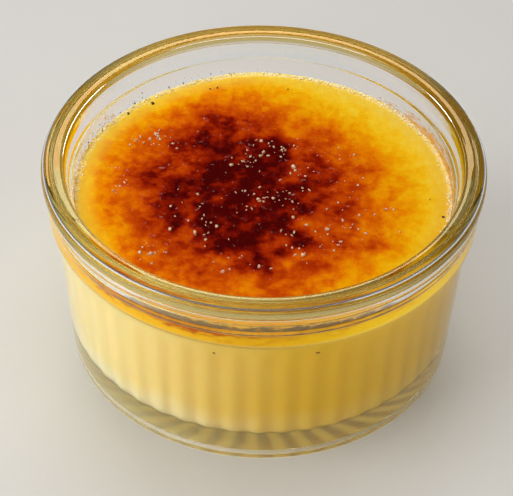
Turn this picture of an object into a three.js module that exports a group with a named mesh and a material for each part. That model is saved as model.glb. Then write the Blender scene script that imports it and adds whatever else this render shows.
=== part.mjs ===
// A creme brulee in its clear glass ramekin. Millimetres, +Z up, the origin at the middle of
// the foot. Every piece is turned about the Z axis from an outline of named sizes.
import * as THREE from 'three';

// Ramekin, outside
const FOOT_RADIUS = 43.3;
const FOOT_ROUNDING = 1.1;
const FOOT_RING_WIDTH = 2.2;
const RECESS_DEPTH = 1.0;
const RECESS_SLOPE = 0.9;
const BODY_TOP = { radius: 45.5, height: 36.5 };
const COLLAR_FOOT = { radius: 47.0, height: 37.8 };
const COLLAR_STEP_FOOT = { radius: 47.0, height: 41.4 };
const COLLAR_STEP_TOP = { radius: 47.45, height: 42.5 };

// Rim: a bead over a shallow groove, with a finer groove round its flat top
const GROOVE_FOOT = { radius: 47.55, height: 46.4 };
const GROOVE = { radius: 47.33, height: 46.7 };
const BEAD_FOOT = { radius: 48.0, height: 47.0 };
const BEAD_ROUNDING = 1.1;
const RIM_HEIGHT = 49.5;
const TOP_GROOVE_RADIUS = 45.6;
const TOP_GROOVE_HALF_WIDTH = 0.4;
const TOP_GROOVE_DEPTH = 0.2;
const LIP_RADIUS = 43.15;
const LIP_ROUNDING = 0.7;

// Ramekin, inside
const LEDGE_TOP = { radius: 42.0, height: 44.05 };
const LEDGE_FOOT = { radius: 41.7, height: 43.75 };
const FOOD_LINE = { radius: 41.1, height: 39.6 };
const FLUTES_FADE = { radius: 40.95, height: 34.0 };
const FLUTES_FULL = { radius: 40.81, height: 30.0 };
const CAVITY_FOOT_RADIUS = 40.05;
const FLOOR_HEIGHT = 6.6;
const FLOOR_FILLET = 2.8;
const FLUTE_COUNT = 48;
const FLUTE_DEPTH = 0.35;

// Contents
const GAP = 0.3;
const CUSTARD_TOP = 35.05;
const CARAMEL_TOP = 39.6;
const CUSTARD_RINGS = [30, 15];
const CARAMEL_RINGS = [37, 30, 20, 10];

// Slow waves of an uneven surface: height and length in millimetres, heading in degrees
const CARAMEL_WAVES = [
  { height: 0.22, length: 46, heading: 20, phase: 0.6 },
  { height: 0.16, length: 31, heading: 105, phase: 2.1 },
  { height: 0.12, length: 22, heading: 63, phase: 4.0 },
];
const CUSTARD_WAVES = [
  { height: 0.2, length: 52, heading: 140, phase: 1.3 },
  { height: 0.1, length: 27, heading: 35, phase: 3.2 },
];

// Drawing
const TURN = 2 * Math.PI;
const SEGMENTS = 2 * FLUTE_COUNT;
const ARC_STEPS = 3;
const BEAD_STEPS = 4;

/** Height of a set of slow waves at a place on the surface. */
function waveHeight(waves, x, y) {
  return waves.reduce((sum, wave) => {
    const heading = THREE.MathUtils.degToRad(wave.heading);
    const distance = x * Math.cos(heading) + y * Math.sin(heading);
    return sum + wave.height * Math.sin((TURN * distance) / wave.length + wave.phase);
  }, 0);
}

/** Outline points along an arc, from one angle to another in degrees. */
function arc(centre, rounding, fromAngle, toAngle, steps) {
  return Array.from({ length: steps + 1 }, (_, step) => {
    const angle = THREE.MathUtils.degToRad(fromAngle + ((toAngle - fromAngle) * step) / steps);
    return {
      radius: centre.radius + rounding * Math.cos(angle),
      height: centre.height + rounding * Math.sin(angle),
    };
  });
}

/** The straight part of the cavity's wall: its radius at a height above the floor's fillet. */
function cavityRadius(height) {
  const filletTop = FLOOR_HEIGHT + FLOOR_FILLET;
  const corners = [
    { radius: CAVITY_FOOT_RADIUS, height: filletTop },
    FLUTES_FULL,
    FLUTES_FADE,
    FOOD_LINE,
    LEDGE_FOOT,
  ];
  const upper = corners.findIndex((corner, index) => index > 0 && height <= corner.height);
  const [below, above] = [corners[upper - 1], corners[upper]];
  const share = (height - below.height) / (above.height - below.height);
  return THREE.MathUtils.lerp(below.radius, above.radius, share);
}

/** The cavity's fillet round the floor, drawn in by a gap for what fills it, floor first. */
function floorFillet(gap) {
  const centre = {
    radius: CAVITY_FOOT_RADIUS - FLOOR_FILLET,
    height: FLOOR_HEIGHT + FLOOR_FILLET,
  };
  const points = arc(centre, FLOOR_FILLET - gap, -90, 0, ARC_STEPS);
  return points.map((point, step) => ({ ...point, fluting: step / ARC_STEPS }));
}

/** The corners of an outline turned about the Z axis, column by column. */
function turnedCorners(outline) {
  const corners = [];
  for (let column = 0; column < SEGMENTS; column += 1) {
    const angle = (column * TURN) / SEGMENTS;
    outline.forEach(({ radius, height, fluting = 0, waves = [] }) => {
      const reach = radius + fluting * FLUTE_DEPTH * Math.cos(FLUTE_COUNT * angle);
      const x = reach * Math.sin(angle);
      const y = -reach * Math.cos(angle);
      corners.push(x, y, height + waveHeight(waves, x, y));
    });
  }
  return corners;
}

/**
 * The triangles between the columns. Each four-cornered patch of a flute is cut along the
 * diagonal that starts at its outer crest on the lower row, so that glass and contents match.
 */
function turnedTriangles(outline) {
  const triangles = [];
  for (let column = 0; column < SEGMENTS; column += 1) {
    const next = (column + 1) % SEGMENTS;
    for (let row = 0; row < outline.length - 1; row += 1) {
      const [a, b] = [column * outline.length + row, next * outline.length + row];
      const [c, d] = [b + 1, a + 1];
      const [start, end] = [outline[row], outline[row + 1]];
      const onCrest = column % 2 === 0 || !(start.fluting || end.fluting);
      const rising = start.height <= end.height;
      if (start.radius === 0) {
        triangles.push(b, c, d);
      } else if (end.radius === 0) {
        triangles.push(a, b, d);
      } else if (onCrest === rising) {
        triangles.push(a, b, c, c, d, a);
      } else {
        triangles.push(d, a, b, b, c, d);
      }
    }
  }
  return triangles;
}

/**
 * Turns an outline about the Z axis, from the bottom of the axis up round the outside. A
 * point's fluting, from 0 to 1, waves its radius in and out round the wall, and its waves
 * lift it off the level.
 */
function turned(outline) {
  const geometry = new THREE.BufferGeometry();
  const corners = new THREE.Float32BufferAttribute(turnedCorners(outline), 3);
  geometry.setAttribute('position', corners);
  geometry.setIndex(turnedTriangles(outline));
  geometry.computeVertexNormals();
  return geometry;
}

/** The glass: foot, tapered body, stepped collar, bead rim and fluted cavity. */
function ramekin() {
  const recessRadius = FOOT_RADIUS - FOOT_ROUNDING - FOOT_RING_WIDTH;
  const footCentre = { radius: FOOT_RADIUS - FOOT_ROUNDING, height: FOOT_ROUNDING };
  const beadCentre = {
    radius: BEAD_FOOT.radius - BEAD_ROUNDING,
    height: RIM_HEIGHT - BEAD_ROUNDING,
  };
  const lipCentre = { radius: LIP_RADIUS + LIP_ROUNDING, height: RIM_HEIGHT - LIP_ROUNDING };
  return turned([
    { radius: 0, height: RECESS_DEPTH },
    { radius: recessRadius - RECESS_SLOPE, height: RECESS_DEPTH },
    { radius: recessRadius, height: 0 },
    ...arc(footCentre, FOOT_ROUNDING, -90, 0, ARC_STEPS),
    BODY_TOP,
    COLLAR_FOOT,
    COLLAR_STEP_FOOT,
    COLLAR_STEP_TOP,
    GROOVE_FOOT,
    GROOVE,
    BEAD_FOOT,
    ...arc(beadCentre, BEAD_ROUNDING, 0, 90, BEAD_STEPS),
    { radius: TOP_GROOVE_RADIUS + TOP_GROOVE_HALF_WIDTH, height: RIM_HEIGHT },
    { radius: TOP_GROOVE_RADIUS, height: RIM_HEIGHT - TOP_GROOVE_DEPTH },
    { radius: TOP_GROOVE_RADIUS - TOP_GROOVE_HALF_WIDTH, height: RIM_HEIGHT },
    ...arc(lipCentre, LIP_ROUNDING, 90, 180, ARC_STEPS),
    LEDGE_TOP,
    LEDGE_FOOT,
    FOOD_LINE,
    FLUTES_FADE,
    { ...FLUTES_FULL, fluting: 1 },
    ...floorFillet(0).reverse(),
    { radius: 0, height: FLOOR_HEIGHT },
  ]);
}

/** The custard, from the cavity's floor up to the caramel. */
function custard() {
  const waves = CUSTARD_WAVES;
  return turned([
    { radius: 0, height: FLOOR_HEIGHT + GAP },
    ...floorFillet(GAP),
    { radius: FLUTES_FULL.radius - GAP, height: FLUTES_FULL.height, fluting: 1 },
    { radius: FLUTES_FADE.radius - GAP, height: FLUTES_FADE.height },
    { radius: cavityRadius(CUSTARD_TOP) - GAP, height: CUSTARD_TOP, waves },
    ...CUSTARD_RINGS.map((radius) => ({ radius, height: CUSTARD_TOP, waves })),
    { radius: 0, height: CUSTARD_TOP, waves },
  ]);
}

/** The caramelised layer on the custard, up to the level of the food. */
function caramel() {
  const bottom = CUSTARD_TOP + GAP;
  const waves = CUSTARD_WAVES;
  return turned([
    { radius: 0, height: bottom, waves },
    ...CUSTARD_RINGS.toReversed().map((radius) => ({ radius, height: bottom, waves })),
    { radius: cavityRadius(bottom) - GAP, height: bottom, waves },
    { radius: cavityRadius(CARAMEL_TOP) - GAP, height: CARAMEL_TOP, waves: CARAMEL_WAVES },
    ...CARAMEL_RINGS.map((radius) => ({ radius, height: CARAMEL_TOP, waves: CARAMEL_WAVES })),
    { radius: 0, height: CARAMEL_TOP, waves: CARAMEL_WAVES },
  ]);
}

/** A named mesh with a finish of its own. */
function piece(name, geometry, finish) {
  const mesh = new THREE.Mesh(geometry, new THREE.MeshStandardMaterial(finish));
  mesh.name = name;
  return mesh;
}

const cremeBrulee = new THREE.Group();
cremeBrulee.add(
  piece('ramekin', ramekin(), {
    color: 0xdde2dc,
    roughness: 0.05,
    metalness: 0,
    transparent: true,
    opacity: 0.35,
  }),
  piece('custard', custard(), { color: 0xe8cf86, roughness: 0.55, metalness: 0 }),
  piece('caramel', caramel(), { color: 0xd98a12, roughness: 0.2, metalness: 0 }),
);

export default cremeBrulee;
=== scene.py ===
"""A creme brulee in its clear glass ramekin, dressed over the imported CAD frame.

Sizes in the classes are millimetres and are turned into metres where a mesh is made. +Z is up
and the camera looks along +Y.
"""

import logging
import math
from collections.abc import Iterable, Sequence
from dataclasses import dataclass, field, replace
from enum import Enum
from typing import TypeVar

import bmesh
import bpy
import numpy as np
from mathutils import Matrix, Vector, noise


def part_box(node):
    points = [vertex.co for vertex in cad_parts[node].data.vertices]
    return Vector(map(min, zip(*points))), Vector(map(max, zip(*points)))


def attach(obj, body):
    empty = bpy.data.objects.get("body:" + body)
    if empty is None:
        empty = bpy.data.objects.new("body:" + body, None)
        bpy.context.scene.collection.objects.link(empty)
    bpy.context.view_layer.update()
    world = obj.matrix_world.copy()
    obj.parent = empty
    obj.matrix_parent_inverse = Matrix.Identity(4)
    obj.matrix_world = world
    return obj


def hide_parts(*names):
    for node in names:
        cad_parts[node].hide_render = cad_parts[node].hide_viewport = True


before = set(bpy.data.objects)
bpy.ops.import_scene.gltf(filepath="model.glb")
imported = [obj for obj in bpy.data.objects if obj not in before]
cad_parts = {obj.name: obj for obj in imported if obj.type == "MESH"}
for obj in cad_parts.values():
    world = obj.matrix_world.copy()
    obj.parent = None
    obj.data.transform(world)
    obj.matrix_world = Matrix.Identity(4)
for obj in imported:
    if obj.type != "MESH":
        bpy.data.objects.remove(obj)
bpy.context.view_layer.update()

LOG = logging.getLogger("creme_brulee")
MM = 0.001
TURN = 2.0 * math.pi
BODY = "root"
CAD_GAP = 0.3  # what any two of the CAD solids leave between them
HIGHEST_WAVE = 0.485  # how far the caramel's top rises over its mean level
INNERMOST = 0.02  # the first radius of a turned mesh, whose ends are filled by one face each

Rgb = tuple[float, float, float]
Stop = tuple[float, Rgb]
Kind = TypeVar("Kind")


# ------------------------------------------------------------------ shader writing


def linear(colour: Rgb) -> tuple[float, float, float, float]:
    """Turns a display colour into the linear colour that shaders take.

    Args:
        colour: Red, green and blue from 0 to 255, as seen on a screen.

    Returns:
        Linear red, green, blue and a full alpha.
    """
    parts = [part / 255.0 for part in colour]
    light = [p / 12.92 if p <= 0.04045 else ((p + 0.055) / 1.055) ** 2.4 for p in parts]
    return (light[0], light[1], light[2], 1.0)


class Wire:
    """A value that runs through a shader, written with as a number is."""

    def __init__(self, bench: "Bench", socket: bpy.types.NodeSocket) -> None:
        """Keeps the bench that the value lives on and the socket that gives it."""
        self.bench = bench
        self.socket = socket

    def maths(self, operation: str, *others: "Wire | float") -> "Wire":
        """Puts this value, and others after it, through a Math node."""
        return self.bench.maths(operation, self, *others)

    def __add__(self, other: "Wire | float") -> "Wire":
        """Adds."""
        return self.maths("ADD", other)

    def __mul__(self, other: "Wire | float") -> "Wire":
        """Multiplies."""
        return self.maths("MULTIPLY", other)

    def __sub__(self, other: "Wire | float") -> "Wire":
        """Takes away."""
        return self.maths("SUBTRACT", other)

    def __rsub__(self, other: float) -> "Wire":
        """Is taken away from a number."""
        return self.bench.maths("SUBTRACT", other, self)

    def __truediv__(self, other: "Wire | float") -> "Wire":
        """Divides."""
        return self.maths("DIVIDE", other)

    def eased(self, start: float, end: float) -> "Wire":
        """Runs smoothly from 0 to 1 as this value goes from start to end.

        Args:
            start: Where the result is 0. It may be more than end.
            end: Where the result is 1.

        Returns:
            The eased value.
        """
        settings = {"interpolation_type": "SMOOTHSTEP"}
        values = {"Value": self, "From Min": start, "From Max": end}
        return self.bench.node("ShaderNodeMapRange", settings, values)

    def part(self, axis: str) -> "Wire":
        """One of X, Y and Z of a place."""
        return self.bench.node("ShaderNodeSeparateXYZ", values={0: self}, output=axis)

    def held(self) -> "Wire":
        """Keeps the value between 0 and 1."""
        settings = {"operation": "ADD", "use_clamp": True}
        return self.bench.node("ShaderNodeMath", settings, {0: self, 1: 0.0})


class Bench:
    """Lays out the nodes of one material."""

    def __init__(self, name: str) -> None:
        """Starts an empty material.

        Args:
            name: The material's name.
        """
        self.material = bpy.data.materials.new(name)
        self.material.use_nodes = True
        self.tree = self.material.node_tree
        self.tree.nodes.clear()

    def node(
        self,
        kind: str,
        settings: dict[str, object] | None = None,
        values: dict[str | int, object] | None = None,
        output: str | int = 0,
    ) -> Wire:
        """Adds one node.

        Args:
            kind: The node's type.
            settings: Its own settings, set first. "stops" sets a colour ramp's stops.
            values: What goes into its sockets, by name or number: values or wires.
            output: The socket to carry on from.

        Returns:
            The chosen output.
        """
        made = self.tree.nodes.new(kind)
        for key, setting in (settings or {}).items():
            if key == "stops":
                self._set_stops(made.color_ramp, setting)
            else:
                setattr(made, key, setting)
        for key, value in (values or {}).items():
            self._feed(made.inputs[key], value)
        return Wire(self, made.outputs[output])

    def _feed(self, socket: bpy.types.NodeSocket, value: object) -> None:
        """Links a wire to a socket, or sets the socket to a value."""
        if isinstance(value, Wire):
            self.tree.links.new(value.socket, socket)
        else:
            socket.default_value = value

    @staticmethod
    def _set_stops(ramp: bpy.types.ColorRamp, stops: Sequence[Stop]) -> None:
        """Sets a ramp's stops, given as places from 0 to 1 with display colours."""
        while len(ramp.elements) < len(stops):
            ramp.elements.new(1.0)
        for element, (place, colour) in zip(ramp.elements, stops):
            element.position = place
            element.color = linear(colour)

    def maths(self, operation: str, *values: Wire | float) -> Wire:
        """Adds a Math node on the values and gives its result."""
        return self.node("ShaderNodeMath", {"operation": operation}, dict(enumerate(values)))

    def place(self) -> Wire:
        """The place on the object, in metres."""
        return self.node("ShaderNodeTexCoord", output="Object")

    def attribute(self, name: str) -> Wire:
        """A number kept at the mesh's corners."""
        return self.node("ShaderNodeAttribute", {"attribute_name": name}, output="Fac")

    def noise(self, at: Wire, size_mm: float, detail: float, roughness: float = 0.5) -> Wire:
        """Soft noise at a place, from 0 to 1, with finer layers as strong as its roughness."""
        values = {"Vector": at, "Scale": 1.0 / (size_mm * MM), "Detail": detail, "Roughness": roughness}
        return self.node("ShaderNodeTexNoise", values=values)

    def stretched(self, at: Wire, scale: Rgb) -> Wire:
        """A place scaled along X, Y and Z."""
        return self.node("ShaderNodeVectorMath", {"operation": "MULTIPLY"}, {0: at, 1: scale})

    def radius(self, at: Wire) -> Wire:
        """How far a place is from the dish's axis, in millimetres."""
        flat = self.stretched(at, (1.0 / MM, 1.0 / MM, 0.0))
        return self.node("ShaderNodeVectorMath", {"operation": "LENGTH"}, {0: flat}, "Value")

    def ramp(self, amount: Wire, stops: Sequence[Stop]) -> Wire:
        """A colour that runs through stops as the amount goes from 0 to 1."""
        return self.node("ShaderNodeValToRGB", {"stops": stops}, {"Fac": amount})

    def blend(self, amount: Wire, first: "Wire | Rgb", second: "Wire | Rgb") -> Wire:
        """Mixes two colours.

        Args:
            amount: 0 for the first, 1 for the second.
            first: A colour wire or a display colour.
            second: A colour wire or a display colour.

        Returns:
            The mixed colour.
        """
        made = self.tree.nodes.new("ShaderNodeMix")
        made.data_type = "RGBA"
        sockets = {socket.name: socket for socket in made.inputs if socket.enabled}
        self._feed(sockets["Factor"], amount)
        for key, colour in (("A", first), ("B", second)):
            self._feed(sockets[key], colour if isinstance(colour, Wire) else linear(colour))
        return Wire(self, next(socket for socket in made.outputs if socket.enabled))

    def bump(self, height: Wire, strength: float, depth_mm: float) -> Wire:
        """A surface normal shifted by a height from 0 to 1, which is as deep as given."""
        values = {"Height": height, "Strength": strength, "Distance": depth_mm * MM}
        return self.node("ShaderNodeBump", values=values, output="Normal")

    def principled(self, values: dict[str | int, object]) -> Wire:
        """The main shader with its values."""
        return self.node("ShaderNodeBsdfPrincipled", values=values)

    def finished(self, surface: Wire) -> bpy.types.Material:
        """Connects the surface to the output and gives the material."""
        output = self.tree.nodes.new("ShaderNodeOutputMaterial")
        self.tree.links.new(surface.socket, output.inputs["Surface"])
        return self.material


# ------------------------------------------------------------------ finishes


@dataclass(frozen=True)
class GlassFinish:
    """Clear pressed glass. Its thick bead rim, and the outside just under it, are painted gold, a painted
    reflection of the caramel seen through the glass, and painted darker at the left and right sides, a
    painted shade.

    Light passes it straight, so that what it holds is lit.
    """

    tint: Rgb = (254, 255, 253)
    # Painted reflection: the rim's gold stands for the caramel seen through the glass; the darker colour
    # at its sides is painted shade.
    painted_rim_reflection: Rgb = (192, 162, 72)
    painted_rim_side_shade: Rgb = (116, 102, 38)
    half_width_mm: float = 48.0
    bead_from_mm: float = 47.5
    bead_full_mm: float = 48.3
    sides: tuple[float, float] = (0.2, 0.85)
    outside_from_mm: float = 45.6
    outside_full_mm: float = 46.4
    outside_lower_mm: float = 1.25
    reflection_tint: Rgb = (252, 206, 104)
    index: float = 1.5

    def made(self) -> bpy.types.Material:
        """The material."""
        bench = Bench("clear_glass")
        at = bench.place()
        # Painted reflection and shade: gold over the bead rim and the top of the outside face, darker
        # towards the left and right sides.
        outside = bench.radius(at).eased(self.outside_from_mm, self.outside_full_mm)
        height = at.part("Z") / MM + outside * self.outside_lower_mm
        high = height.eased(self.bead_from_mm, self.bead_full_mm)
        across = at.part("X") / (self.half_width_mm * MM)
        bead = bench.blend((across * across).eased(*self.sides), self.painted_rim_reflection, self.painted_rim_side_shade)
        tint = bench.blend(high, self.tint, bead)
        glass = bench.principled(
            {
                "Base Color": tint,
                "Roughness": 0.0,
                "Specular Tint": linear(self.reflection_tint),
                "IOR": self.index,
                "Transmission Weight": 1.0,
            }
        )
        clear = bench.node("ShaderNodeBsdfTransparent", values={"Color": linear(self.tint)})
        shadow = bench.node("ShaderNodeLightPath", output="Is Shadow Ray")
        both = bench.node("ShaderNodeMixShader", values={0: shadow, 1: glass, 2: clear})
        return bench.finished(both)


@dataclass(frozen=True)
class CustardFinish:
    """Set egg custard seen through glass, with painted light: paler on the -X side, where the key light
    falls, and deeper golden on the other, with a paler painted band low on the lit side and a painted
    shade line at its foot.

    A faint painted glow, in stripes, at its underside stands for light that has come through the custard;
    the thick bottom of the dish mirrors it.
    """

    # Painted light: pale is the custard on the lit -X side, golden the custard on the +X side, away from
    # the key light.
    pale: Rgb = (250, 232, 170)
    golden: Rgb = (242, 198, 50)
    # Painted light: the paler colour low on the -X side, where the key light falls.
    foot: Rgb = (252, 244, 212)
    # Painted shade: a dark line along the foot, where the fillet lies in shade.
    painted_shade_line: Rgb = (128, 102, 44)
    # Painted glow: emission colours for the underside, in place of light that has come through the
    # custard.
    glow: Rgb = (124, 110, 62)
    glow_dim: Rgb = (74, 70, 54)
    underside_mm: float = 6.6
    half_width_mm: float = 41.0
    stripe_count: int = 36
    mottle_mm: float = 9.0
    painted_light_across: tuple[float, float] = (-1.15, 0.35)
    lit_foot_heights: tuple[float, float] = (0.5, 9.0)
    lit_foot_share: float = 0.75
    shade_line_share: float = 0.7

    def made(self) -> bpy.types.Material:
        """The material."""
        bench = Bench("set_custard")
        at = bench.place()
        mottle = bench.noise(at, self.mottle_mm, 3.0) - 0.5
        across = at.part("X") / (self.half_width_mm * MM) + mottle * 0.25
        height = at.part("Z") / MM - self.underside_mm
        # Painted light: paler towards -X, where the key light falls, and deeper golden towards +X.
        colour = bench.blend(across.eased(*self.painted_light_across), self.pale, self.golden)
        # Painted light: paler low down on the -X side, where the key light falls.
        lit_foot = 1.0 - (height + mottle * 4.0).eased(*self.lit_foot_heights)
        lit_foot = lit_foot * (1.0 - across.eased(-1.0, 0.3) * 0.8)
        colour = bench.blend(lit_foot * self.lit_foot_share, colour, self.foot)
        # Painted shade: a thin dark line just above the underside, where the fillet is in shade.
        line = height.eased(-0.3, 0.1) * (1.0 - height.eased(0.5, 1.0))
        colour = bench.blend(line * self.shade_line_share, colour, self.painted_shade_line)

        # Painted glow: the underside glows in stripes round the axis, though it is no lamp.
        bearing = at.part("X").maths("ARCTAN2", at.part("Y"))
        stripes = (bearing * self.stripe_count + mottle * 3.0).maths("SINE")
        under = bench.blend(stripes.eased(-1.0, 1.0), self.glow_dim, self.glow)
        glow = bench.blend(height.eased(0.0, 0.3), under, (0, 0, 0))
        surface = bench.principled(
            {
                "Base Color": colour,
                "Roughness": 0.6,
                "Specular IOR Level": 0.1,
                "Subsurface Weight": 0.6,
                "Subsurface Radius": (1.0, 0.6, 0.25),
                "Subsurface Scale": 4.0 * MM,
                "Emission Color": glow,
                "Emission Strength": 1.0,
            }
        )
        return bench.finished(surface)


@dataclass(frozen=True)
class CaramelFinish:
    """Caramelised sugar over custard, from yellow to the dark red-brown of the scorched part.

    The mesh keeps how scorched each place is, how near the wall it is and how far down the
    layer's side it lies.
    """

    stops: tuple[Stop, ...] = (
        (0.0, (238, 206, 92)),
        (0.08, (238, 196, 48)),
        (0.16, (238, 184, 20)),
        (0.26, (234, 160, 5)),
        (0.38, (226, 128, 4)),
        (0.5, (212, 97, 4)),
        (0.62, (191, 70, 4)),
        (0.74, (167, 46, 4)),
        (0.84, (131, 23, 3)),
        (0.93, (97, 10, 4)),
        (1.0, (70, 5, 4)),
    )
    near_wall: Rgb = (220, 186, 72)
    front_edge: Rgb = (222, 164, 30)
    wall_edge: Rgb = (246, 224, 130)
    side: Rgb = (247, 190, 14)
    side_burnt: Rgb = (196, 84, 6)
    edge_burnt: Rgb = (206, 116, 4)
    side_foot: Rgb = (246, 208, 110)
    # Painted glow: the colour that the layer's side glows with at the front right, in place of light
    # coming through it.
    light_through: Rgb = (144, 130, 0)
    half_width_mm: float = 41.0
    char_depth: float = 0.8
    blotch_mm: float = 3.4
    blotch_depth: float = 0.17
    mottle_mm: float = 1.6
    mottle_depth: float = 0.24
    grain_mm: float = 0.9
    glint_mm: float = 1.3
    glint_share: float = 0.35

    def made(self) -> bpy.types.Material:
        """The material."""
        bench = Bench("scorched_caramel")
        at = bench.place()
        scorch = bench.attribute("scorch")
        blotch = bench.noise(at, self.blotch_mm, 5.0, 0.6).eased(0.36, 0.64) - 0.5
        mottle = bench.noise(at, self.mottle_mm, 4.0, 0.65) - 0.5
        uneven = scorch.eased(0.0, 0.6) * 0.7 + 0.3
        level = (scorch + blotch * uneven * self.blotch_depth + mottle * self.mottle_depth).held()
        burnt = bench.ramp(level, self.stops)
        near_wall = bench.attribute("near_wall") + mottle * 0.3
        behind = (at.part("Y") / (self.half_width_mm * MM)).eased(-0.7, 0.5)
        edge = bench.blend(behind, self.front_edge, self.near_wall)
        top = bench.blend(near_wall.eased(0.1, 0.9) * (0.95 - behind * 0.35), burnt, edge)
        top = bench.blend(near_wall.eased(0.78, 1.0) * behind * 0.8, top, self.wall_edge)
        streaks = bench.noise(bench.stretched(at, (1.0, 1.0, 2.4)), self.blotch_mm, 4.0, 0.6)
        side_burnt = bench.attribute("side_burnt")
        top = bench.blend(near_wall.eased(0.86, 1.0) * side_burnt * 0.7, top, self.edge_burnt)

        depth = bench.attribute("side_depth")
        low = depth / self.char_depth
        char = ((streaks - 0.5) * 2.4 + 1.1 - low).eased(0.2, 0.9) * side_burnt
        side = bench.blend(depth.eased(0.8, 1.0), self.side, self.side_foot)
        colour = bench.blend(depth.eased(0.0, 0.06), top, bench.blend(char, side, self.side_burnt))
        height = bench.noise(at, self.grain_mm, 4.0, 0.6)
        across = at.part("X") / (self.half_width_mm * MM)
        # Painted glow: where the side glows, at the front right.
        through = depth.eased(0.0, 0.06) * across.eased(-0.1, 0.8) * (1.0 - behind)
        glints = bench.noise(at, self.glint_mm, 3.0, 0.7).eased(0.61, 0.7)
        glints = glints * scorch.eased(0.45, 0.8) * self.glint_share
        surface = bench.principled(
            {
                "Base Color": colour,
                "Roughness": 0.45,
                "Specular IOR Level": 0.0,
                "Coat Weight": glints,
                "Coat Roughness": 0.12,
                "Normal": bench.bump(height, 0.5, 0.25),
                "Emission Color": bench.blend(through, (0, 0, 0), self.light_through),
                "Emission Strength": 1.0,
            }
        )
        return bench.finished(surface)


@dataclass(frozen=True)
class PlainFinish:
    """An even finish with a faint mottle, for the floor and for small crumbs."""

    name: str
    colour: Rgb
    darker: Rgb
    roughness: float
    lump_mm: float

    def made(self) -> bpy.types.Material:
        """The material."""
        bench = Bench(self.name)
        mottle = bench.noise(bench.place(), self.lump_mm, 3.0)
        colour = bench.blend(mottle.eased(0.3, 0.7), self.colour, self.darker)
        return bench.finished(bench.principled({"Base Color": colour, "Roughness": self.roughness}))


# ------------------------------------------------------------------ shapes


def as_piece(
    name: str,
    corners: np.ndarray,
    faces: Iterable[Sequence[int]],
    material: bpy.types.Material,
) -> bpy.types.Object:
    """Makes a smooth-shaded mesh object.

    Args:
        name: Its name.
        corners: Its corners in millimetres, one row each.
        faces: Its faces, as numbers of corners.
        material: Its only material.

    Returns:
        The object, in the scene.
    """
    mesh = bpy.data.meshes.new(name)
    mesh.from_pydata((corners * MM).tolist(), [], list(faces))
    mesh.validate()
    mesh.shade_smooth()
    mesh.materials.append(material)
    piece = bpy.data.objects.new(name, mesh)
    bpy.context.scene.collection.objects.link(piece)
    return piece


@dataclass(frozen=True)
class Corner:
    """A corner of an outline, rounded off over a length on each side."""

    radius: float
    height: float
    easing: float = 0.0


def eased_outline(corners: Sequence[Corner], steps: int) -> np.ndarray:
    """Rounds the corners of an outline.

    Args:
        corners: The outline's corners in order.
        steps: How many pieces a rounded corner is drawn with.

    Returns:
        Radius and height of each point, one row each.
    """
    places = [np.array((c.radius, c.height)) for c in corners]
    points: list[np.ndarray] = []
    for index, (corner, here) in enumerate(zip(corners, places)):
        if corner.easing == 0.0 or index in (0, len(corners) - 1):
            points.append(here)
            continue
        before = places[index - 1] - here
        after = places[index + 1] - here
        start = here + before / np.linalg.norm(before) * corner.easing
        end = here + after / np.linalg.norm(after) * corner.easing
        for step in range(steps + 1):
            share = step / steps
            points.append((1 - share) ** 2 * start + 2 * share * (1 - share) * here + share**2 * end)
    return np.array(points)


def split_long(outline: np.ndarray, longest: float) -> np.ndarray:
    """Adds points along the long straight parts of an outline.

    Args:
        outline: Radius and height of each point.
        longest: The longest step left.

    Returns:
        The finer outline.
    """
    points = [outline[0]]
    for start, end in zip(outline[:-1], outline[1:]):
        count = max(1, math.ceil(float(np.linalg.norm(end - start)) / longest))
        points.extend(start + (end - start) * step / count for step in range(1, count + 1))
    return np.array(points)


def keep_at_corners(piece: bpy.types.Object, name: str, values: np.ndarray) -> None:
    """Keeps a number at each corner of a piece's mesh, by the name that its finish reads."""
    kept = piece.data.attributes.new(name, "FLOAT", "POINT")
    kept.data.foreach_set("value", values.astype(np.float32))


def numbered(rows: int, columns: int) -> np.ndarray:
    """The numbers of corners that stand in rows."""
    return np.arange(rows * columns).reshape(rows, columns)


def faces_round(rows: np.ndarray) -> list[list[int]]:
    """Faces between rows of corners that run round an axis.

    Args:
        rows: The corners' numbers, row by row, each in order round the axis.

    Returns:
        The faces, facing away from the axis where the rows go up.
    """
    following = np.roll(rows, -1, axis=1)
    faces = np.stack([rows[:-1], following[:-1], following[1:], rows[1:]], axis=-1)
    return faces.reshape(-1, 4).tolist()


def closed_faces(rows: np.ndarray) -> list[list[int]]:
    """Faces between rows of corners, with the first and the last row filled by one face each."""
    return [*faces_round(rows), rows[0][::-1].tolist(), rows[-1].tolist()]


def each(kind: type[Kind], *rows: tuple[float, ...]) -> tuple[Kind, ...]:
    """One of a kind for each row of its values."""
    return tuple(kind(*row) for row in rows)


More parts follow.
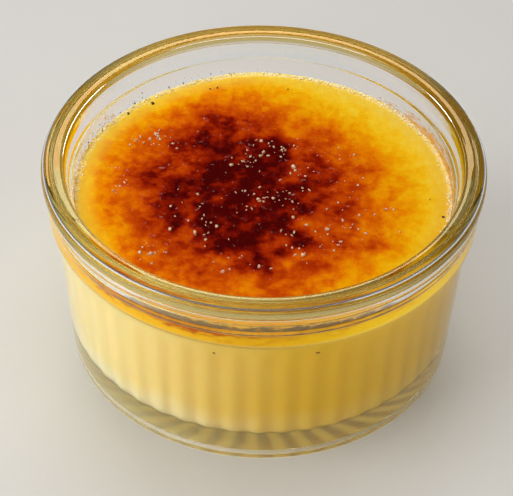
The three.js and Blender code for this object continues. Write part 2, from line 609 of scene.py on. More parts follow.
@dataclass(frozen=True)
class Cavity:
    """The inside of the dish, which the food fills."""

    floor: float = 6.6
    fillet: float = 2.8
    foot_radius: float = 40.0
    rim_radius: float = 43.15
    ledge_top: tuple[float, float] = (42.0, 44.05)
    ledge_foot: tuple[float, float] = (41.7, 43.75)
    food_line: tuple[float, float] = (41.1, 39.6)
    fade_line: tuple[float, float] = (40.95, 34.0)
    flutes_full: float = 30.0
    flute_count: int = 48
    flute_depth: float = 0.52
    flutes_top_share: float = 0.34
    flutes_growth: int = 5

    def radius(self, height: np.ndarray | float) -> np.ndarray | float:
        """The wall's mean radius at a height above the floor's fillet."""
        foot = (self.foot_radius, self.floor)
        radii, heights = zip(foot, self.fade_line, self.food_line, self.ledge_foot, self.ledge_top)
        return np.interp(height, heights, radii)

    def on_wall(self, bearing: np.ndarray, height: np.ndarray, inward: np.ndarray | float) -> np.ndarray:
        """Places at bearings in radians from +X towards +Y, a little inward of the wall."""
        radius = self.radius(height) - inward
        across, away, up = np.broadcast_arrays(radius * np.cos(bearing), radius * np.sin(bearing), height)
        return np.stack([across, away, up], axis=-1)

    def fluting(self, radius: np.ndarray, height: np.ndarray) -> np.ndarray:
        """How strongly the flutes show at places on the wall, from 0 to 1."""
        below = np.clip((self.fade_line[1] - height) / (self.fade_line[1] - self.flutes_full), 0.0, 1.0)
        inner = self.foot_radius - self.fillet
        outward = np.clip((radius - inner) / self.fillet, 0.0, 1.0)
        depth = np.clip((self.fade_line[1] - height) / (self.fade_line[1] - self.floor), 0.0, 1.0)
        deepening = self.flutes_top_share + (1.0 - self.flutes_top_share) * depth**self.flutes_growth
        return below**2 * (3 - 2 * below) * outward * deepening

    def wave(self, angle: np.ndarray) -> np.ndarray:
        """The flutes' shift outward at an angle from the front, where they are strongest."""
        return self.flute_depth * np.cos(self.flute_count * angle)

    def turned(self, outline: np.ndarray, columns: int, fluted: np.ndarray) -> np.ndarray:
        """Turns an outline about the dish's axis, with its flutes.

        Args:
            outline: Radius and height of each row.
            columns: How many corners go round.
            fluted: How strongly the flutes show at each row.

        Returns:
            The corners, row by row, starting at the front and going towards +X.
        """
        angle = np.arange(columns) * TURN / columns
        radius = outline[:, :1] + fluted[:, None] * self.wave(angle)[None, :]
        height = np.repeat(outline[:, 1:], columns, axis=1)
        corners = np.stack([radius * np.sin(angle), -radius * np.cos(angle), height], axis=-1)
        return corners.reshape(-1, 3)


# ------------------------------------------------------------------ the dish


@dataclass
class Ramekin:
    """The pressed glass dish, with a collar under its bead rim."""

    cavity: Cavity
    outer_radius: float
    height: float
    foot_radius: float = 43.27
    foot_rounding: float = 1.1
    foot_ring: float = 2.2
    recess: float = 1.0
    recess_slope: float = 0.9
    clearance: float = 0.05
    body_top_radius: float = 45.5
    collar_bottom: float = 37.15
    collar_slope: float = 1.3
    collar_radius: float = 47.0
    collar_bulge: float = 47.45
    collar_lean: float = 0.1
    collar_step: tuple[float, float] = (41.4, 42.5)
    fine_groove: float = 45.2
    fine_groove_edges: tuple[float, float] = (0.07, 0.08)
    fine_groove_depth: float = 0.03
    groove_half: float = 0.3
    bead_bottom: float = 46.7
    bead_groove: float = 0.12
    bead_shoulder: float = 0.6
    bead_rounding: float = 1.1
    top_groove: float = 0.22
    top_groove_half: float = 0.25
    top_fall: float = 0.05
    lip_width: float = 0.4
    lip_fall: float = 0.1
    lip_depth: float = 0.9
    rounding_steps: int = 5
    longest_step: float = 2.5
    columns: int = 384

    def collar(self) -> list[Corner]:
        """The collar's face: its lower part, its fuller upper part and the groove under the bead."""
        step_foot, step_top = self.collar_step
        lower_edge, upper_edge = self.fine_groove_edges
        bulge = self.collar_bulge
        half = self.groove_half
        return [
            Corner(self.collar_radius, self.collar_bottom + self.collar_slope / 2, 0.2),
            Corner(self.collar_radius, step_foot, 0.45),
            Corner(bulge, step_top, 0.6),
            Corner(bulge + lower_edge, self.fine_groove - half, 0.2),
            Corner(bulge - self.fine_groove_depth, self.fine_groove, 0.1),
            Corner(bulge + upper_edge, self.fine_groove + half, 0.2),
            Corner(bulge + self.collar_lean, self.bead_bottom - half, 0.2),
            Corner(bulge - self.bead_groove, self.bead_bottom, 0.12),
            Corner(self.outer_radius, self.bead_bottom + half, 0.3),
        ]

    def outline(self) -> list[Corner]:
        """The dish's outline, from the axis round the outside and back along the cavity."""
        cavity = self.cavity
        ring_inside = self.foot_radius - self.foot_rounding - self.foot_ring
        middle = (self.outer_radius + cavity.rim_radius) / 2
        return [
            Corner(0.0, self.recess),
            Corner(ring_inside - self.recess_slope, self.recess, 0.4),
            Corner(ring_inside, self.clearance, 0.5),
            Corner(self.foot_radius, self.clearance, self.foot_rounding),
            Corner(self.body_top_radius, self.collar_bottom - self.collar_slope / 2, 0.2),
            *self.collar(),
            Corner(self.outer_radius, self.height - self.bead_shoulder, 1.0),
            Corner(self.outer_radius - self.bead_rounding, self.height, 0.8),
            Corner(middle + self.top_groove_half, self.height - self.top_fall, 0.3),
            Corner(middle, self.height - self.top_groove, 0.15),
            Corner(middle - self.top_groove_half, self.height - self.top_fall, 0.3),
            Corner(cavity.rim_radius + self.lip_width, self.height - self.lip_fall, 0.55),
            Corner(cavity.rim_radius - self.lip_fall, self.height - self.lip_depth, 0.5),
            Corner(*cavity.ledge_top, 0.15),
            Corner(*cavity.ledge_foot, 0.15),
            Corner(*cavity.food_line, 1.0),
            Corner(*cavity.fade_line, 1.0),
            Corner(cavity.foot_radius, cavity.floor, cavity.fillet),
            Corner(0.0, cavity.floor),
        ]

    def made(self, finish: GlassFinish) -> bpy.types.Object:
        """Builds the dish and puts it in place of its CAD solid.

        Args:
            finish: The glass.

        Returns:
            The piece.
        """
        outline = split_long(eased_outline(self.outline(), self.rounding_steps), self.longest_step)
        outline[:, 0] = np.maximum(outline[:, 0], INNERMOST)
        last_outer = int(np.argmax(outline[:, 1]))
        inside = np.arange(len(outline)) > last_outer
        fluted = self.cavity.fluting(outline[:, 0], outline[:, 1]) * inside
        corners = self.cavity.turned(outline, self.columns, fluted)
        faces = closed_faces(numbered(len(outline), self.columns))
        piece = as_piece("glass_ramekin", corners, faces, finish.made())
        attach(piece, BODY)
        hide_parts("ramekin")
        return piece


# ------------------------------------------------------------------ the food


@dataclass(frozen=True)
class ScorchMark:
    """A patch where the torch burnt more, or less where the depth is negative."""

    x: float
    y: float
    reach: float
    depth: float


@dataclass
class ScorchMap:
    """How burnt the top is: a broad patch a little off the middle, broken up by marks."""

    middle: tuple[float, float] = (-8.0, 0.0)
    reaches: tuple[float, ...] = (32, 29, 27.5, 30, 25.5, 25, 24, 24, 27, 30, 33, 33)
    fading: tuple[tuple[float, float], ...] = (
        (0.0, 0.97), (0.45, 0.94), (0.6, 0.86), (0.72, 0.75),
        (1.0, 0.5), (1.22, 0.3), (1.4, 0.14), (1.7, 0.03),
    )
    wander: float = 1.6
    patchiness: float = 0.13
    patches_end: float = 1.5
    marks: tuple[ScorchMark, ...] = each(
        ScorchMark,
        (-14, 20, 6.0, 0.12), (-27, -27, 7.0, 0.2), (-14, -34, 7.0, 0.14), (2, -37, 8.0, 0.2),
        (-15, 27, 3.0, 0.16), (-10, 25, 3.0, 0.1), (3, 14, 4.0, 0.16), (-29, 4, 3.0, 0.12),
        (-23, -9, 2.5, 0.12), (-8, -15, 4.0, 0.1), (-1, -22, 3.0, 0.2), (2, -26, 2.0, 0.18),
        (-12, -27, 2.2, 0.2), (14, 6, 3.5, 0.12), (14, 21, 3.0, 0.12), (19, -6, 3.0, 0.12),
        (8, -17, 2.6, 0.2), (12, -24, 2.5, 0.14), (17, -17, 2.2, 0.16), (24, -17, 1.5, 0.22),
        (24, 7, 3.0, 0.1), (-18, 8, 3.5, -0.2), (6, 4, 2.6, -0.22), (-15, -14, 2.4, -0.18),
        (-10, -3, 1.5, -0.12), (-4, 14, 1.5, -0.12), (9, -11, 3.0, -0.16), (14, -13, 2.0, -0.14),
        (22, -12, 2.5, -0.1), (24, 0, 3.0, -0.06), (5, 20, 2.5, -0.12), (-27, -3, 2.5, -0.12),
        (-26, 13, 2.5, -0.1), (-9, -23, 2.4, -0.16), (6, -22, 2.0, -0.16), (-3, -31, 3.0, -0.1),
    )

    def level(self, x: np.ndarray, y: np.ndarray) -> np.ndarray:
        """How burnt places on the top are, from 0 for yellow to 1 for nearly black.

        Args:
            x: Across, in millimetres.
            y: Away from the camera, in millimetres.

        Returns:
            The levels.
        """
        across = x + self.wander * rough(x, y, size=5.0, layers=3, seed=11.0)
        away = y + self.wander * rough(x, y, size=5.0, layers=3, seed=37.0)
        bearing = np.arctan2(away - self.middle[1], across - self.middle[0]) % TURN
        bearings = np.arange(len(self.reaches) + 1) * TURN / len(self.reaches)
        reach = np.interp(bearing, bearings, (*self.reaches, self.reaches[0]))
        distance = np.hypot(across - self.middle[0], away - self.middle[1]) / reach
        total = np.interp(distance, *zip(*self.fading))
        for mark in self.marks:
            square = ((across - mark.x) ** 2 + (away - mark.y) ** 2) / mark.reach**2
            total += mark.depth * np.exp(-square)
        patches = self.patchiness * rough(x, y, size=4.5, layers=3, seed=5.0)
        return total + patches * np.clip(self.patches_end - distance, 0.0, 1.0)


def rough(x: np.ndarray, y: np.ndarray, size: float, layers: int, seed: float) -> np.ndarray:
    """Uneven noise over the top, about -1 to 1.

    Args:
        x: Across, in millimetres.
        y: Away from the camera, in millimetres.
        size: The size of its lumps.
        layers: How many finer layers it has.
        seed: A number that picks the pattern.

    Returns:
        The noise at each place.
    """
    fading, shrinking = 0.9, 2.1
    places = zip((x.ravel() / size).tolist(), (y.ravel() / size).tolist())
    values = [noise.fractal(Vector((*place, seed)), fading, shrinking, layers) for place in places]
    return np.array(values).reshape(x.shape)


@dataclass(frozen=True)
class Wave:
    """A slow wave of an uneven surface. The heading is in degrees."""

    height: float
    length: float
    heading: float
    phase: float

    def at(self, x: np.ndarray, y: np.ndarray) -> np.ndarray:
        """The wave's height at places."""
        heading = math.radians(self.heading)
        distance = x * math.cos(heading) + y * math.sin(heading)
        return self.height * np.sin(TURN * distance / self.length + self.phase)


@dataclass(frozen=True)
class SideBurn:
    """A burnt stretch of the layer's side: degrees from the front towards +X."""

    bearing: float
    spread: float
    depth: float


@dataclass
class Caramel:
    """The caramelised layer, uneven on top, with the scorch kept at its corners."""

    cavity: Cavity
    level: float
    bottom: float
    scorch: ScorchMap = field(default_factory=ScorchMap)
    reach_into_wall: float = 0.35
    grid: int = 260
    side_steps: int = 10
    lump_height: float = 0.16
    grain_height: float = 0.05
    climb_height: float = 0.2
    climb_width: float = 0.5
    steepest_climb: float = 1.3
    calm_share: float = 0.4
    burnt_share: float = 0.8
    margin: float = 6.4
    margin_fade: float = 6.0
    waves: tuple[Wave, ...] = each(Wave, (0.22, 46, 20, 0.6), (0.16, 31, 105, 2.1), (0.12, 22, 63, 4.0))
    burns: tuple[SideBurn, ...] = each(SideBurn, (-18, 27, 1.0), (-45, 5, 0.8), (42, 7, 0.6), (24, 5, 0.5))

    def disc(self) -> tuple[np.ndarray, np.ndarray]:
        """Places of a square grid pressed into a circle of radius 1."""
        side = np.linspace(-1.0, 1.0, self.grid + 1)
        across, away = np.meshgrid(side, side)
        wide = np.abs(across) > np.abs(away)
        radius = np.where(wide, across, away)
        safe = np.where(radius == 0.0, 1.0, radius)
        turn = np.where(wide, away / safe, across / safe) * math.pi / 4
        x = np.where(wide, radius * np.cos(turn), radius * np.sin(turn))
        y = np.where(wide, radius * np.sin(turn), radius * np.cos(turn))
        return x, y

    def relief(self, x: np.ndarray, y: np.ndarray, scorch: np.ndarray) -> np.ndarray:
        """The height of the top over its level: waves, lumps, and a climb at the wall.

        Args:
            x: Across, in millimetres.
            y: Away from the camera, in millimetres.
            scorch: How burnt each place is. The lumps are higher there.

        Returns:
            The heights.
        """
        slow = sum(wave.at(x, y) for wave in self.waves)
        lumps = self.lump_height * rough(x, y, size=3.2, layers=3, seed=21.0)
        grain = self.grain_height * rough(x, y, size=1.0, layers=2, seed=51.0)
        wall = float(self.cavity.radius(self.level))
        climb = np.clip(1.0 - (wall - np.hypot(x, y)) / self.climb_width, 0.0, self.steepest_climb)
        unevenness = self.calm_share + self.burnt_share * np.clip(scorch, 0, 1)
        return slow + (lumps + grain) * unevenness + self.climb_height * climb**2

    def on_top(self, flat: np.ndarray, raised: np.ndarray) -> np.ndarray:
        """Places on the top for what lies on it, each raised by its own amount."""
        x, y = flat.T
        height = self.level + self.relief(x, y, self.scorch.level(x, y))
        return np.column_stack([flat, height + raised])

    def side_corners(self, rim_places: np.ndarray) -> list[np.ndarray]:
        """The rows of corners down the layer's side, up against the glass.

        Args:
            rim_places: The places of the top's edge corners.

        Returns:
            The places of each row, from just under the edge down to the bottom.
        """
        outward = rim_places[:, :2] / np.linalg.norm(rim_places[:, :2], axis=1, keepdims=True)
        rows = []
        for step in range(1, self.side_steps + 1):
            share = step / self.side_steps
            height = rim_places[:, 2] * (1 - share) + self.bottom * share
            radius = self.cavity.radius(height) + self.reach_into_wall
            rows.append(np.column_stack([outward * radius[:, None], height]))
        return rows

    def side_burnt(self, places: np.ndarray) -> np.ndarray:
        """How burnt the side is at places.

        Args:
            places: The places, in millimetres.

        Returns:
            The levels, from 0 to 1.
        """
        bearing = np.degrees(np.arctan2(places[:, 0], -places[:, 1]))
        burnt = np.zeros(len(places))
        for burn in self.burns:
            burnt += burn.depth * np.exp(-(((bearing - burn.bearing) / burn.spread) ** 2))
        return np.clip(burnt, 0.0, 1.0)

    def made(self, finish: CaramelFinish) -> bpy.types.Object:
        """Builds the layer and puts it in place of its CAD solid.

        Args:
            finish: The caramel.

        Returns:
            The piece.
        """
        unit_x, unit_y = self.disc()
        edge = float(self.cavity.radius(self.level)) + self.reach_into_wall
        x, y = unit_x * edge, unit_y * edge
        scorch = self.scorch.level(x, y)
        top = np.stack([x, y, self.level + self.relief(x, y, scorch)], axis=-1).reshape(-1, 3)
        grid = numbered(self.grid + 1, self.grid + 1)
        rim = np.concatenate([grid[0, :-1], grid[:-1, -1], grid[-1, :0:-1], grid[:0:-1, 0]])
        places = np.concatenate([top, *self.side_corners(top[rim])])
        rows = self.side_steps
        side = numbered(rows, len(rim)) + len(top)
        across = np.stack([grid[:-1, :-1], grid[:-1, 1:], grid[1:, 1:], grid[1:, :-1]], axis=-1)
        faces = across.reshape(-1, 4).tolist()
        faces += [*faces_round(np.vstack([side[::-1], rim])), side[-1][::-1].tolist()]
        piece = as_piece("caramel_layer", places, faces, finish.made())
        scorch = scorch.ravel()
        inward = edge - np.hypot(x, y).ravel()
        near_wall = np.clip((self.margin - inward) / self.margin_fade, 0.0, 1.0)
        depth = np.repeat(np.arange(1, rows + 1) / rows, len(rim))
        keep_at_corners(piece, "scorch", np.concatenate([scorch, np.tile(scorch[rim], rows)]))
        keep_at_corners(piece, "near_wall", np.concatenate([near_wall, np.ones(len(depth))]))
        keep_at_corners(piece, "side_depth", np.concatenate([np.zeros(len(top)), depth]))
        keep_at_corners(piece, "side_burnt", self.side_burnt(places))
        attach(piece, BODY)
        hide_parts("caramel")
        return piece


@dataclass
class Custard:
    """The custard under the caramelised layer, up against the glass."""

    cavity: Cavity
    top: float
    reach_into_wall: float = 0.33
    rounding_steps: int = 10
    longest_step: float = 1.2
    columns: int = 480

    def made(self, finish: CustardFinish) -> bpy.types.Object:
        """Builds the custard and puts it in place of its CAD solid.

        Args:
            finish: The custard.

        Returns:
            The piece.
        """
        cavity = self.cavity
        reach = self.reach_into_wall
        bottom = cavity.floor - reach
        corners = [
            Corner(INNERMOST, bottom),
            Corner(cavity.foot_radius + reach, bottom, cavity.fillet + reach),
            Corner(cavity.fade_line[0] + reach, cavity.fade_line[1], 1.0),
            Corner(float(cavity.radius(self.top)) + reach, self.top),
            Corner(INNERMOST, self.top),
        ]
        outline = split_long(eased_outline(corners, self.rounding_steps), self.longest_step)
        fluted = cavity.fluting(outline[:, 0] - reach, outline[:, 1])
        fluted[outline[:, 1] >= self.top] = 0.0
        places = cavity.turned(outline, self.columns, fluted)
        faces = closed_faces(numbered(len(outline), self.columns))
        piece = as_piece("custard_filling", places, faces, finish.made())
        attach(piece, BODY)
        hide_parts("custard")
        return piece


# ------------------------------------------------------------------ small bits


class BitShape(Enum):
    """What a small bit is like: how many times its ball is split and how rough and flat it is."""

    BUBBLE = (1, 0.06, 0.9)
    CRYSTAL = (1, 0.4, 0.5)
    CRUMB = (1, 0.45, 0.6)


@dataclass
class Bits:
    """Many small bits of one kind, joined into one mesh."""

    name: str
    slot: str
    shape: BitShape
    seed: int

    def ball(self) -> tuple[np.ndarray, np.ndarray]:
        """The corners and faces of a ball of radius 1."""
        split, _, _ = self.shape.value
        mesh = bmesh.new()
        bmesh.ops.create_icosphere(mesh, subdivisions=split, radius=1.0)
        corners = np.array([corner.co[:] for corner in mesh.verts])
        faces = np.array([[corner.index for corner in face.verts] for face in mesh.faces])
        mesh.free()
        return corners, faces

    def made(self, places: np.ndarray, sizes: np.ndarray, finish: PlainFinish) -> bpy.types.Object:
        """Makes a bit at each place, each one turned and misshapen in its own way.

        Args:
            places: Where they are, in millimetres, one row each.
            sizes: Their half widths in millimetres.
            finish: What they are made of.

        Returns:
            The piece.
        """
        _, roughness, flatness = self.shape.value
        draw = np.random.default_rng(self.seed)
        corners, faces = self.ball()
        count = len(places)
        lumps = 1.0 + roughness * draw.uniform(-1.0, 1.0, (count, len(corners), 1))
        stretch = draw.uniform(flatness, 1.0 / flatness, (count, 1, 3))
        turn = draw.uniform(0.0, TURN, count)
        shaped = corners[None] * lumps * stretch * sizes[:, None, None]
        across = shaped[..., 0] * np.cos(turn)[:, None] - shaped[..., 1] * np.sin(turn)[:, None]
        away = shaped[..., 0] * np.sin(turn)[:, None] + shaped[..., 1] * np.cos(turn)[:, None]
        placed = np.stack([across, away, shaped[..., 2]], axis=-1) + places[:, None, :]
        joined = faces[None] + (np.arange(count) * len(corners))[:, None, None]
        joined = joined.reshape(-1, 3).tolist()
        piece = as_piece(self.name, placed.reshape(-1, 3), joined, finish.made())
        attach(piece, BODY)
        return piece


@dataclass(frozen=True)
class Patch:
    """A patch of the top with small bits strewn over it."""

    x: float
    y: float
    wide: float
    deep: float
    count: int


@dataclass
class SugarBeadsAndGlints:
    """Pale sugar beads on the scorched top: real lumps, whose near-white colour is a painted highlight
    standing for the glints of light on the caramel.
    """

    caramel: Caramel
    seed: int = 7
    smallest: float = 0.09
    largest: float = 0.42
    closeness: float = 0.8
    size_spread: tuple[float, float] = (1.3, 3.0)
    raised: float = 0.3
    patches: tuple[Patch, ...] = each(
        Patch,
        (-24, 17, 4.0, 2.6, 30), (-3, 10, 4.0, 2.6, 26), (4, 15, 3.4, 2.4, 20), (1, -3, 5.0, 3.0, 34),
        (-12, -12, 3.0, 3.5, 16), (-23, -21, 2.6, 3.2, 16), (-32, 0, 1.6, 5.0, 12), (10, 4, 5.0, 5.0, 18),
        (16, -11, 7.0, 6.0, 30), (8, -17, 4.0, 4.0, 14), (-4, -23, 5.0, 3.0, 10), (17, 15, 4.0, 3.0, 8),
        (-15, -2, 4.0, 5.0, 10), (25, -1, 4.0, 5.0, 8),
    )

    def made(self) -> bpy.types.Object:
        """Strews the grains and gives the piece."""
        draw = np.random.default_rng(self.seed)
        spots = []
        for patch in self.patches:
            spread = (patch.wide * self.closeness, patch.deep * self.closeness)
            spots.append(draw.normal((patch.x, patch.y), spread, (patch.count, 2)))
        flat = np.concatenate(spots)
        shares = draw.beta(*self.size_spread, len(flat))
        sizes = self.smallest + (self.largest - self.smallest) * shares
        bits = Bits("sugar_beads_and_painted_glints", "caramel", BitShape.CRYSTAL, self.seed)
        # Painted highlight: the beads' near-white colour stands for glints of the lamps on the caramel's
        # bubbles.
        finish = PlainFinish("sugar", (240, 212, 176), (190, 122, 82), 0.3, 0.4)
        return bits.made(self.caramel.on_top(flat, sizes * self.raised), sizes, finish)


@dataclass(frozen=True)
class Run:
    """A stretch of the wall, by bearing in degrees from +X towards +Y, with its number of bits."""

    start: float
    end: float
    count: int


@dataclass
class WallBits:
    """Small bits along the wall, at the food's edge or dried on the glass above it."""

    name: str
    cavity: Cavity
    level: float
    runs: tuple[Run, ...]
    shape: BitShape
    finish: PlainFinish
    smallest: float
    largest: float
    inward: float
    climb: float
    seed: int
    edge_height: float = 0.25
    sunk: float = 0.35
    size_spread: tuple[float, float] = (1.4, 2.6)

    def made(self) -> bpy.types.Object:
        """Strews the bits along the wall and gives the piece."""
        draw = np.random.default_rng(self.seed)
        spread = [draw.uniform(run.start, run.end, run.count) for run in self.runs]
        bearing = np.radians(np.concatenate(spread))
        count = len(bearing)
        shares = draw.beta(*self.size_spread, count)
        sizes = self.smallest + (self.largest - self.smallest) * shares
        height = self.level + np.abs(draw.normal(0.0, self.climb, count))
        at_edge = height < self.level + self.edge_height
        inward = np.abs(draw.normal(0.0, self.inward, count)) * at_edge
        places = self.cavity.on_wall(bearing, height, sizes * self.sunk + inward)
        return Bits(self.name, "caramel", self.shape, self.seed).made(places, sizes, self.finish)


@dataclass(frozen=True)
class Speck:
    """One burnt speck at the food's edge."""

    x: float
    y: float
    size: float


@dataclass
class BurntSpecks:
    """The few burnt specks that lie near the edge of the top."""

    caramel: Caramel
    raised: float = 0.2
    specks: tuple[Speck, ...] = each(
        Speck,
        (-25.9, 29.2, 0.42), (-11.3, 35.6, 0.34), (-12.9, 35.2, 0.2), (-31.2, 25.4, 0.26),
        (38.9, -7.2, 0.26), (36.3, -1.8, 0.2), (5.2, 35.4, 0.14),
    )

    def made(self) -> bpy.types.Object:
        """Lays the specks and gives the piece."""
        flat = np.array([(speck.x, speck.y) for speck in self.specks])
        sizes = np.array([speck.size for speck in self.specks])
        finish = PlainFinish("burnt_sugar", (78, 44, 18), (40, 20, 10), 0.5, 0.6)
        bits = Bits("burnt_specks", "caramel", BitShape.CRUMB, seed=11)
        return bits.made(self.caramel.on_top(flat, sizes * self.raised), sizes, finish)


@dataclass
class CustardSpecks:
    """The two dark specks of the custard that show through the glass in front."""

    cavity: Cavity
    bearings: tuple[float, ...] = (-74.0, -102.5)
    heights: tuple[float, ...] = (32.0, 31.8)
    sizes: tuple[float, ...] = (0.3, 0.26)
    outward: float = 0.4

    def made(self) -> bpy.types.Object:
        """Lays the specks against the wall and gives the piece."""
        places = self.cavity.on_wall(np.radians(self.bearings), np.array(self.heights), -self.outward)
        finish = PlainFinish("dark_speck", (150, 92, 30), (96, 56, 20), 0.6, 0.6)
        bits = Bits("custard_specks", "custard", BitShape.CRUMB, seed=13)
        return bits.made(places, np.array(self.sizes), finish)


@dataclass(frozen=True)
class FilmFinish:
    """A thin film on the glass that lets the glass show between its streaks: its orange is a painted
    reflection of the caramel, and its darker brown is painted shade.
    """

    # Painted reflection in the orange colour and painted shade in the darker one.
    colour: Rgb = (222, 168, 72)
    darker: Rgb = (116, 88, 42)

    def made(self) -> bpy.types.Material:
        """The material."""
        bench = Bench("wall_film_painted_shade_and_reflection")
        at = bench.place()
        streaks = bench.noise(bench.stretched(at, (1.0, 1.0, 3.0)), 2.6, 4.0, 0.62)
        # Painted shade: where the film is painted dark.
        dark = (bench.attribute("film_painted_shade") + (streaks - 0.5) * 1.2).eased(0.2, 0.8)
        colour = bench.blend(dark, self.colour, self.darker)
        cover = (bench.attribute("cover") + (streaks - 0.5) * 1.6).eased(0.3, 0.75)
        values = {"Base Color": colour, "Roughness": 0.5, "Specular IOR Level": 0.1, "Alpha": cover}
        return bench.finished(bench.principled(values))


@dataclass(frozen=True)
class FilmStretch:
    """How the film is at a bearing in degrees from +X towards +Y. Start and rise are heights."""

    bearing: float
    start: float
    rise: float
    cover: float
    # How much painted shade the film has at this bearing.
    film_painted_shade: float


@dataclass
class PaintedWallFilm:
    """A film on the wall above the food: dark in front, a painted shade where the food meets the glass,
    and tall and orange on the right, a painted reflection of the caramel.
    """

    cavity: Cavity
    level: float
    tallest: float = 5.2
    sunk: float = 0.2
    foot_fade: float = 0.4
    top_fades_from: float = 0.25
    gap: float = 0.04
    columns: int = 480
    rows: int = 24
    stretches: tuple[FilmStretch, ...] = each(
        FilmStretch,
        (0, -0.2, 4.4, 0.8, 0.25), (30, -0.2, 3.8, 0.7, 0.2), (55, -0.2, 1.6, 0.35, 0.2),
        (80, -0.2, 0.5, 0.05, 0.3), (130, -0.2, 0.5, 0.15, 0.6), (160, -0.2, 1.6, 0.35, 0.3),
        (195, -0.2, 2.2, 0.7, 0.4), (210, 0.0, 1.9, 0.95, 0.65), (250, 0.2, 1.9, 1.1, 0.8),
        (285, 0.2, 1.9, 1.1, 0.8), (318, 0.1, 1.8, 0.9, 0.65), (345, -0.2, 2.6, 0.85, 0.4),
        (360, -0.2, 4.4, 0.8, 0.25),
    )

    def made(self, finish: FilmFinish) -> bpy.types.Object:
        """Lays the film along the wall.

        Args:
            finish: The film.

        Returns:
            The piece.
        """
        degrees = np.arange(self.columns) * 360.0 / self.columns
        known = [stretch.bearing for stretch in self.stretches]
        start, rise, cover, film_painted_shade = (
            np.interp(degrees, known, [getattr(stretch, key) for stretch in self.stretches])
            for key in ("start", "rise", "cover", "film_painted_shade")
        )
        share = np.linspace(0.0, 1.0, self.rows)[:, None]
        height = self.level - self.sunk + self.tallest * share
        places = self.cavity.on_wall(np.radians(degrees), height, self.gap)
        above = height - self.level
        fading = np.clip(1.0 + self.top_fades_from - above / rise, 0.0, 1.0)
        fading = fading * np.clip((above - start) / self.foot_fade, 0.0, 1.0)
        faces = faces_round(numbered(self.rows, self.columns))
        piece = as_piece("wall_film_painted_shade_and_reflection", places.reshape(-1, 3), faces, finish.made())
        keep_at_corners(piece, "cover", (fading * cover).ravel())
        keep_at_corners(piece, "film_painted_shade", np.tile(film_painted_shade, self.rows))
        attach(piece, BODY)
        return piece


# ------------------------------------------------------------------ the studio


@dataclass(frozen=True)
class SoftLight:
    """A large soft lamp that faces the dish. Lengths are metres."""

    name: str
    place: tuple[float, float, float]
    width: float
    height: float
    power: float
    colour: Rgb = (255, 253, 249)

    def made(self, target: Vector) -> bpy.types.Object:
        """Hangs the lamp, facing a target."""
        lamp = bpy.data.lights.new(self.name, "AREA")
        lamp.shape = "RECTANGLE"
        lamp.size = self.width
        lamp.size_y = self.height
        lamp.energy = self.power
        lamp.color = linear(self.colour)[:3]
        hung = bpy.data.objects.new(self.name, lamp)
        hung.location = self.place
        hung.rotation_euler = (target - Vector(self.place)).to_track_quat("-Z", "Y").to_euler()
        bpy.context.scene.collection.objects.link(hung)
        return hung


@dataclass
class Studio:
    """The floor, the lights and the camera."""

    lights: tuple[SoftLight, ...] = (
        SoftLight("key_left", (-0.55, -0.16, 0.42), 0.45, 0.45, 2.6),
        SoftLight("top", (0.05, 0.2, 0.9), 0.8, 0.8, 3.5),
        SoftLight("back_strip", (-0.1, 0.66, 0.56), 0.5, 0.12, 1.35),
        SoftLight("front", (-0.1, -0.75, 0.5), 0.5, 0.3, 1.1),
        SoftLight("fill_right", (0.6, -0.35, 0.3), 0.4, 0.5, 0.4),
    )
    surround: Rgb = (240, 239, 237)
    surround_strength: float = 0.18
    floor_half: float = 3.0
    lens: float = 134.1
    distance: float = 0.4275
    elevation: float = 42.46
    roll: float = 1.2
    pivot_height: float = 0.02525
    framing: tuple[float, float] = (-0.00125, -0.0022)

    def made(self) -> None:
        """Sets up everything round the dish."""
        self._floor()
        self._surround()
        target = Vector((0.0, 0.0, self.pivot_height))
        for light in self.lights:
            light.made(target)
        self._camera()
        bpy.context.scene.view_settings.view_transform = "Standard"

    def _floor(self) -> None:
        """Lays the plain pale floor."""
        half = self.floor_half / MM
        corners = np.array([(-half, -half, 0), (half, -half, 0), (half, half, 0), (-half, half, 0)], float)
        finish = PlainFinish("pale_floor", (214, 213, 211), (211, 210, 208), 0.6, 120.0)
        as_piece("floor", corners, [(0, 1, 2, 3)], finish.made())

    def _surround(self) -> None:
        """Lights everything evenly from all round."""
        world = bpy.data.worlds.new("surround")
        world.use_nodes = True
        background = world.node_tree.nodes["Background"]
        background.inputs["Color"].default_value = linear(self.surround)
        background.inputs["Strength"].default_value = self.surround_strength
        bpy.context.scene.world = world

    def _camera(self) -> None:
        """Stands the camera in front of the dish, looking down on it."""
        tilt = math.radians(self.elevation)
        pivot = Vector((0.0, 0.0, self.pivot_height))
        back = Vector((0.0, -math.cos(tilt), math.sin(tilt)))
        right = Vector((1.0, 0.0, 0.0))
        upward = back.cross(right)
        stand = pivot + back * self.distance
        aim = pivot + right * self.framing[0] + upward * self.framing[1]
        facing = (aim - stand).to_track_quat("-Z", "Y").to_matrix()
        data = bpy.data.cameras.new("camera")
        data.lens = self.lens
        data.sensor_width = 36.0
        data.clip_start = 0.01
        data.clip_end = 50.0
        camera = bpy.data.objects.new("camera", data)
        camera.matrix_world = Matrix.Translation(stand) @ (
            facing @ Matrix.Rotation(math.radians(self.roll), 3, "Z")
        ).to_4x4()
        bpy.context.scene.collection.objects.link(camera)
        bpy.context.scene.camera = camera


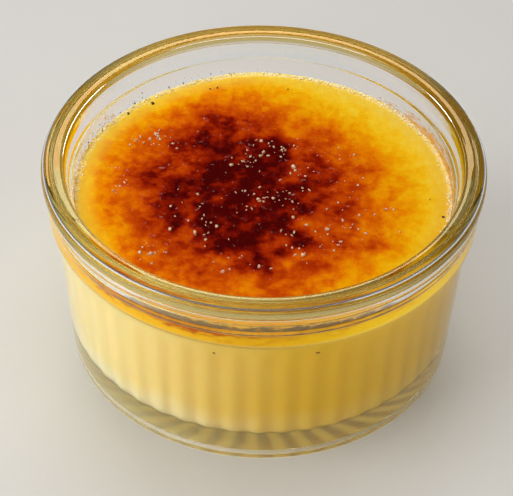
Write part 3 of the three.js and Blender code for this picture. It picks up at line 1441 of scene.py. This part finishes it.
def bits_on_wall(cavity: Cavity, level: float) -> tuple[WallBits, ...]:
    """The three kinds of small bits along the wall.

    Args:
        cavity: The inside of the dish.
        level: The height of the food.

    Returns:
        Foam at the food's edge, whose near-white is partly a painted highlight where the edge catches the
        light, and honey-coloured drops and brown crumbs over it.
    """
    foam = WallBits(
        name="edge_foam_and_painted_highlight",
        cavity=cavity,
        level=level,
        runs=each(Run, (30, 120, 900), (120, 205, 460), (-25, 30, 520)),
        shape=BitShape.BUBBLE,
        # Painted highlight: the foam's near-white also stands for the bright line where the food's edge
        # catches the light.
        finish=PlainFinish("foam_and_painted_highlight", (255, 250, 230), (252, 236, 176), 0.7, 0.8),
        smallest=0.05,
        largest=0.27,
        inward=0.42,
        climb=0.24,
        seed=3,
    )
    drops = replace(
        foam,
        name="honey_drops",
        runs=(Run(146, 212, 560),),
        finish=PlainFinish("honey_drops", (248, 202, 76), (220, 156, 36), 0.8, 0.8),
        smallest=0.06,
        largest=0.2,
        inward=0.1,
        climb=1.7,
        seed=5,
    )
    crumbs = replace(
        drops,
        name="wall_crumbs",
        runs=(Run(85, 172, 84),),
        shape=BitShape.CRUMB,
        finish=PlainFinish("brown_crumbs", (146, 108, 60), (86, 56, 28), 0.6, 0.6),
        smallest=0.05,
        largest=0.18,
        climb=0.9,
        seed=9,
    )
    return foam, drops, crumbs


def main() -> None:
    """Builds the dish, its food and the studio in order."""
    logging.basicConfig(level=logging.INFO, format="%(name)s: %(message)s")
    low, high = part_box("ramekin")
    food_low, food_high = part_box("caramel")
    custard_low, custard_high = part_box("custard")
    cavity = Cavity(floor=custard_low.z / MM - CAD_GAP)
    ramekin = Ramekin(cavity, outer_radius=(high.x - low.x) / 2 / MM, height=high.z / MM)
    boundary = (custard_high.z + food_low.z) / 2 / MM
    caramel = Caramel(cavity, level=food_high.z / MM - HIGHEST_WAVE, bottom=boundary)
    custard = Custard(cavity, top=boundary)
    for piece in (
        ramekin.made(GlassFinish()),
        custard.made(CustardFinish()),
        caramel.made(CaramelFinish()),
        SugarBeadsAndGlints(caramel).made(),
        BurntSpecks(caramel).made(),
        CustardSpecks(cavity).made(),
        *(bits.made() for bits in bits_on_wall(cavity, caramel.level)),
        PaintedWallFilm(cavity, caramel.level).made(FilmFinish()),
    ):
        LOG.info("made %s with %d corners", piece.name, len(piece.data.vertices))
    Studio().made()


if __name__ == "__main__":
    main()
